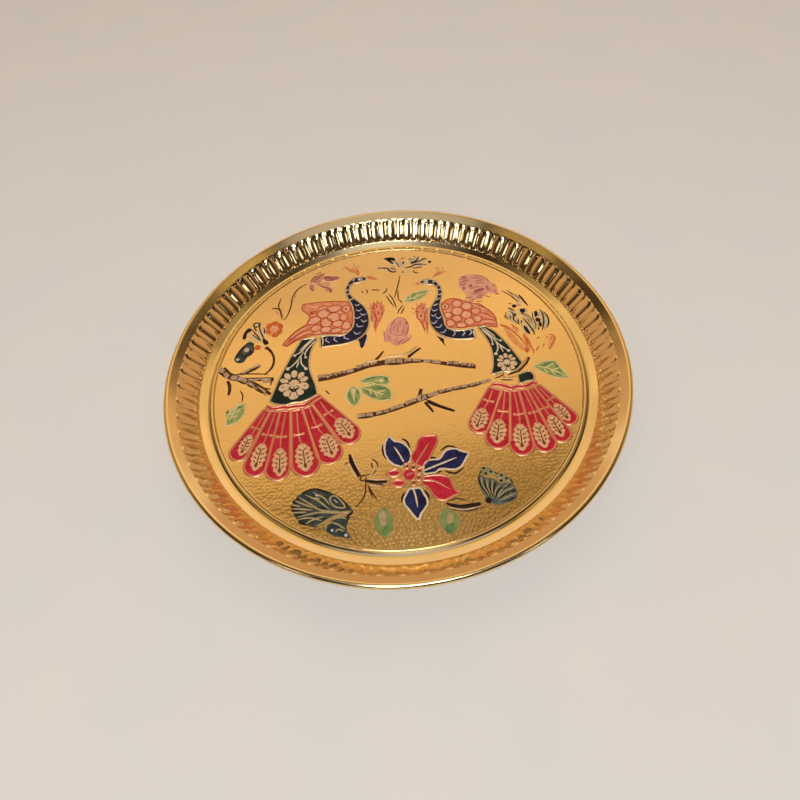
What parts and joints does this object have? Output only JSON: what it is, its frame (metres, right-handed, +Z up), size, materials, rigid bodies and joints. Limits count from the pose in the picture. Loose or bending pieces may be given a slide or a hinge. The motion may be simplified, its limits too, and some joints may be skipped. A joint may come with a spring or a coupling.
{
  "type": "puja thali",
  "caption": "Shallow round brass offering plate with a fluted flaring wall, a rolled rim and a flat floor inlaid with enamel peacocks and flowers.",
  "frame": {"origin": "centre of the flat underside, on the surface that the plate rests on", "axes": "+Z up out of the dish, +Y towards the top of the enamel picture, +X to the picture's right"},
  "size_m": [0.25, 0.2502, 0.0154],
  "materials": {
    "polished_brass": "polished wall and rim, finely chased floor",
    "coral_enamel": "fired glass enamel, gloss",
    "navy_enamel": "fired glass enamel, gloss",
    "green_black_enamel": "fired glass enamel, gloss",
    "crimson_enamel": "fired glass enamel, gloss",
    "brown_enamel": "fired glass enamel, gloss",
    "leaf_green_enamel": "fired glass enamel, gloss",
    "pink_enamel": "thin fired glass enamel, gloss",
    "mauve_enamel": "thin fired glass enamel, gloss",
    "grey_enamel": "fired glass enamel, gloss",
    "orange_enamel": "thin fired glass enamel, gloss"
  },
  "bodies": {
    "root": {"blue_blossom_petals_enamel": "grey_enamel", "blue_bud_enamel": "grey_enamel", "bottom_lotus_petals_enamel": "grey_enamel", "grey_lotus_petals_enamel": "grey_enamel", "large_leaf_enamel": "leaf_green_enamel", "left_branch_enamel": "brown_enamel", "left_green_bud_enamel": "leaf_green_enamel", "left_leaf_enamel": "leaf_green_enamel", "left_peacock_body_enamel": "navy_enamel", "left_peacock_breast_tuft_enamel": "coral_enamel", "left_peacock_feather_1_enamel": "crimson_enamel", "left_peacock_feather_2_enamel": "crimson_enamel", "left_peacock_feather_3_enamel": "crimson_enamel", "left_peacock_feather_4_enamel": "crimson_enamel", "left_peacock_feather_5_enamel": "crimson_enamel", "left_peacock_feather_6_enamel": "crimson_enamel", "left_peacock_ribbon_enamel": "crimson_enamel", "left_peacock_thigh_enamel": "navy_enamel", "left_peacock_train_enamel": "green_black_enamel", "left_peacock_wing_enamel": "coral_enamel", "lotus_pad_enamel": "grey_enamel", "lotus_pad_lobe_enamel": "grey_enamel", "lower_branch_enamel": "brown_enamel", "mauve_lotus_enamel": "mauve_enamel", "orange_blossom_enamel": "orange_enamel", "orange_petals_enamel": "orange_enamel", "pink_bud_enamel": "pink_enamel", "pink_lotus_enamel": "pink_enamel", "right_green_bud_enamel": "leaf_green_enamel", "right_leaf_enamel": "leaf_green_enamel", "right_peacock_body_enamel": "navy_enamel", "right_peacock_breast_tuft_enamel": "coral_enamel", "right_peacock_feather_1_enamel": "crimson_enamel", "right_peacock_feather_2_enamel": "crimson_enamel", "right_peacock_feather_3_enamel": "crimson_enamel", "right_peacock_feather_4_enamel": "crimson_enamel", "right_peacock_feather_5_enamel": "crimson_enamel", "right_peacock_feather_6_enamel": "crimson_enamel", "right_peacock_ribbon_enamel": "crimson_enamel", "right_peacock_thigh_enamel": "navy_enamel", "right_peacock_train_enamel": "green_black_enamel", "right_peacock_train_end_enamel": "green_black_enamel", "right_peacock_wing_enamel": "coral_enamel", "small_leaf_enamel": "leaf_green_enamel", "sprig_leaf_enamel": "leaf_green_enamel", "star_flower_blue_petals_enamel": "navy_enamel", "star_flower_heart_enamel": "crimson_enamel", "star_flower_red_petals_enamel": "crimson_enamel", "star_flower_small_petals_enamel": "crimson_enamel", "thali_body": "polished_brass", "top_lotus_petals_enamel": "grey_enamel", "twigs_enamel": "brown_enamel", "upper_branch_enamel": "brown_enamel"}
  },
  "joints": []
}
